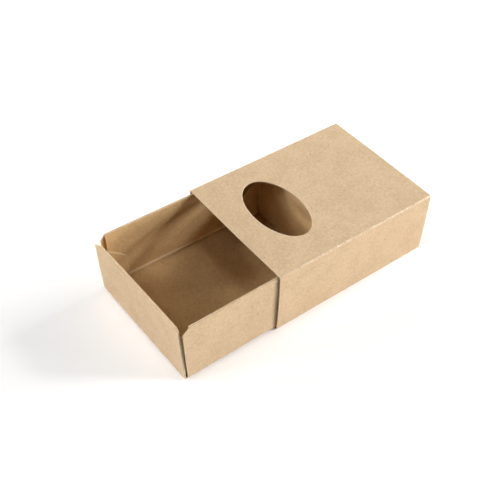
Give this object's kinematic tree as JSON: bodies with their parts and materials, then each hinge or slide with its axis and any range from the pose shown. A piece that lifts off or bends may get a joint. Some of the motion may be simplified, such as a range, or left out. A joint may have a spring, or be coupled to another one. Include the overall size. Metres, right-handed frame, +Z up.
{
  "type": "drawer box",
  "caption": "Small folded board drawer box: a sleeve with an oval window in its top, and a tray with rolled double side walls that slides through it.",
  "frame": {"origin": "middle of the sleeve's underside, on the table", "axes": "+Y along the box, from the end the tray is pulled out of towards the back; +X to the right; +Z up, through the window"},
  "size_m": [0.0608, 0.1251, 0.0308],
  "materials": {
    "sleeve_board": "uncoated kraft board, matt, with fine darker and paler fibres and paler creases",
    "tray_board": "uncoated kraft board, matt, a little darker inside, with pale cut edges",
    "seam_glue": "thin dried film of white glue"
  },
  "bodies": {
    "sleeve": {"sleeve_top_panel": "sleeve_board", "sleeve_right_panel": "sleeve_board", "sleeve_bottom_panel": "sleeve_board", "sleeve_left_panel": "sleeve_board", "sleeve_glue_flap": "sleeve_board", "sleeve_seam_glue": "seam_glue"},
    "tray": {"tray_base_panel": "tray_board", "tray_left_outer_wall": "tray_board", "tray_left_rolled_edge": "tray_board", "tray_left_inner_wall": "tray_board", "tray_right_outer_wall": "tray_board", "tray_right_rolled_edge": "tray_board", "tray_right_inner_wall": "tray_board"},
    "front_end": {"front_end_wall": "tray_board"},
    "back_end": {"back_end_wall": "tray_board"},
    "front_left_flap": {"front_left_dust_flap": "tray_board"},
    "front_right_flap": {"front_right_dust_flap": "tray_board"},
    "back_left_flap": {"back_left_dust_flap": "tray_board"},
    "back_right_flap": {"back_right_dust_flap": "tray_board"}
  },
  "joints": [
    {"name": "tray_slide", "type": "slide", "parent": "sleeve", "child": "tray", "axis": [0, -1, 0], "range_m": [-0.123, 0.0346]},
    {"name": "front_end_fold", "type": "hinge", "parent": "tray", "child": "front_end", "pos_m": [0.0003, -0.084, 0.0007], "axis": [1, 0, 0], "range_deg": [-2.2, 87.8]},
    {"name": "back_end_fold", "type": "hinge", "parent": "tray", "child": "back_end", "pos_m": [0.0003, -0.0044, 0.0007], "axis": [-1, 0, 0], "range_deg": [0, 90]},
    {"name": "front_left_flap_fold", "type": "hinge", "parent": "front_end", "child": "front_left_flap", "pos_m": [-0.02665, -0.0835, 0.00072], "axis": [0, 0.0384, -0.9993], "range_deg": [0, 85]},
    {"name": "front_right_flap_fold", "type": "hinge", "parent": "front_end", "child": "front_right_flap", "pos_m": [0.02725, -0.0835, 0.00072], "axis": [0, -0.0384, 0.9993], "range_deg": [0, 85]},
    {"name": "back_left_flap_fold", "type": "hinge", "parent": "back_end", "child": "back_left_flap", "pos_m": [-0.02665, -0.0049, 0.0007], "axis": [0, 0, 1], "range_deg": [0, 85]},
    {"name": "back_right_flap_fold", "type": "hinge", "parent": "back_end", "child": "back_right_flap", "pos_m": [0.02725, -0.0049, 0.0007], "axis": [0, 0, -1], "range_deg": [0, 85]}
  ]
}
